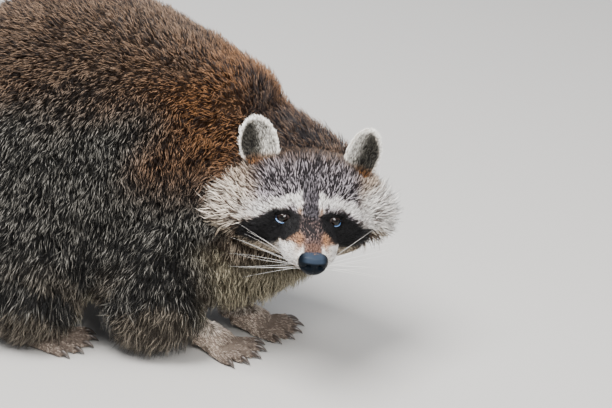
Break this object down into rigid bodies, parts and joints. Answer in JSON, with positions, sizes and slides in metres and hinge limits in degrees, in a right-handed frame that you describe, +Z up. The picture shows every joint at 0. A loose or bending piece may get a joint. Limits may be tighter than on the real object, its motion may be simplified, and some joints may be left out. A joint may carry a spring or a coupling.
{
  "type": "raccoon model",
  "caption": "Still, life-size raccoon standing on all fours with a hunched back, bushy ringed tail, and its masked head turned to its right.",
  "frame": {"origin": "on the floor, under the middle of the model's box", "axes": "+X the way the body points, +Y the animal's left, +Z up"},
  "size_m": [0.675, 0.249, 0.2946],
  "materials": {
    "coat": "dense grizzled grey-brown fur",
    "neck_fur": "dense rusty brown fur",
    "head_fur": "grizzled grey fur with a black mask and pale brows",
    "muzzle_fur": "short white fur",
    "ear_fur": "short pale fur",
    "paw_fur": "short brown fur",
    "eye": "wet, glossy, dark brown",
    "nose": "moist black leathery skin",
    "claw": "dark horn, satin",
    "whisker": "stiff pale hairs"
  },
  "bodies": {
    "root": {"ear_left": "ear_fur", "ear_right": "ear_fur", "eye_left": "eye", "eye_right": "eye", "forearm_left": "paw_fur", "forearm_right": "paw_fur", "forepaw_left": "paw_fur", "forepaw_right": "paw_fur", "head": "head_fur", "hindpaw_left": "paw_fur", "hindpaw_right": "paw_fur", "lower_jaw": "muzzle_fur", "muzzle": "muzzle_fur", "neck": "neck_fur", "nose": "nose", "shank_left": "paw_fur", "shank_right": "paw_fur", "tail_base": "coat", "tail_middle": "coat", "tail_tip": "coat", "thigh_left": "coat", "thigh_right": "coat", "trunk": "coat", "upper_arm_left": "coat", "upper_arm_right": "coat"}
  },
  "joints": []
}
